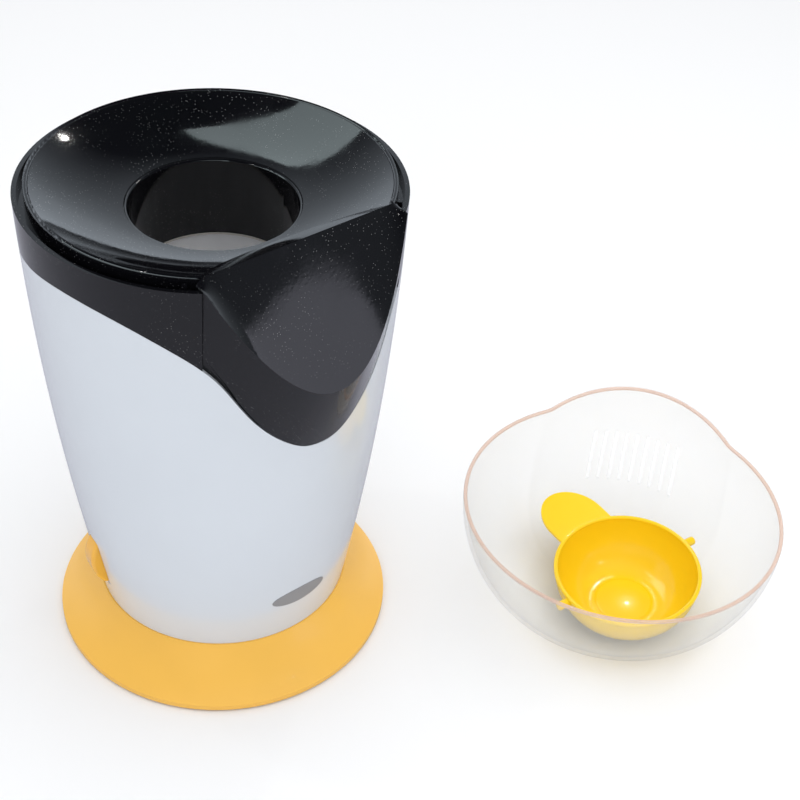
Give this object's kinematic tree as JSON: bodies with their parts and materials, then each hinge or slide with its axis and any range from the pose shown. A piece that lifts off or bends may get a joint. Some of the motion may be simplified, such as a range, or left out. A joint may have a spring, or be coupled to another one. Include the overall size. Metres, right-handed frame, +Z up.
{
  "type": "popcorn maker",
  "caption": "Hot-air popcorn maker: flared base, tapered casing, dished top with a round feed hole and pouring chute, with a clear lift-off cover and a measuring cup beside it.",
  "frame": {"origin": "on the standing surface, on the vertical axis of the machine", "axes": "+Z up, -Y out of the chute, +X to the machine's left as seen from behind it, towards the cover"},
  "size_m": [0.3708, 0.3308, 0.284],
  "materials": {
    "yellow_skirt": "soft gloss moulded plastic",
    "white_casing": "glossy moulded plastic",
    "black_gloss": "high gloss moulded plastic",
    "clear_plastic": "water-clear moulded plastic, faint warm tint at the edges",
    "yellow_cup": "glossy moulded plastic",
    "yellow_rocker": "glossy moulded plastic",
    "black_matt": "matt moulded plastic",
    "grey_plastic": "matt heat-resistant plastic",
    "aluminium_cup": "spun satin aluminium",
    "steel": "plated sheet steel",
    "screw_steel": "bright zinc plated",
    "heating_wire": "oxidised resistance wire",
    "mica": "mica board",
    "rubber": "soft rubber",
    "silicone": "heat-resistant silicone",
    "brass": "plain brass",
    "magnet": "ferrite",
    "laminations": "steel laminations with lacquered windings",
    "circuit_board": "lacquered board",
    "white_nylon": "plain nylon"
  },
  "bodies": {
    "root": {"base_skirt": "yellow_skirt", "bottom_plate": "black_matt", "rubber_feet": "rubber", "base_screws": "screw_steel", "body_shell": "white_casing", "upper_collar": "black_gloss", "top_dish": "black_gloss", "spout_chute": "black_gloss", "cover_catches": "black_gloss", "chamber_gasket": "silicone", "popping_chamber": "aluminium_cup", "air_duct": "steel", "duct_screws": "screw_steel", "mica_ring": "mica", "heater_cross": "mica", "heater_coil": "heating_wire", "thermostat": "steel", "thermal_fuse": "white_nylon", "fan_housing": "grey_plastic", "motor_bracket": "steel", "motor_screws": "screw_steel", "motor_can": "steel", "motor_magnets": "magnet", "motor_end_cap": "white_nylon", "motor_terminals": "brass", "motor_bushes": "brass", "rectifier_board": "circuit_board", "rectifier_diodes": "black_matt", "chassis_posts": "steel", "terminal_block": "white_nylon", "cord_gland": "black_matt", "switch_frame": "white_casing", "switch_housing": "black_matt", "switch_terminals": "brass"},
    "fan": {"impeller": "white_nylon", "motor_shaft": "steel", "shaft_clip": "steel", "motor_armature": "laminations"},
    "rocker": {"switch_rocker": "yellow_rocker", "switch_pin": "steel"},
    "cover": {"clear_cover": "clear_plastic"},
    "cup": {"measuring_cup": "yellow_cup"}
  },
  "joints": [
    {"name": "fan_spin", "type": "hinge", "parent": "root", "child": "fan", "pos_m": [0, 0, 0.06], "axis": [0, 0, 1], "continuous": true},
    {"name": "rocker_tilt", "type": "hinge", "parent": "root", "child": "rocker", "pos_m": [-0.07212, 0.01078, 0.06099], "axis": [-0.1478, -0.989, 0], "range_deg": [0, 8]},
    {"name": "cover_lift", "type": "slide", "parent": "root", "child": "cover", "axis": [0, 0, 1], "range_m": [0, 0.25]},
    {"name": "cup_lift", "type": "slide", "parent": "cover", "child": "cup", "axis": [0, 0, 1], "range_m": [0, 0.2]}
  ]
}
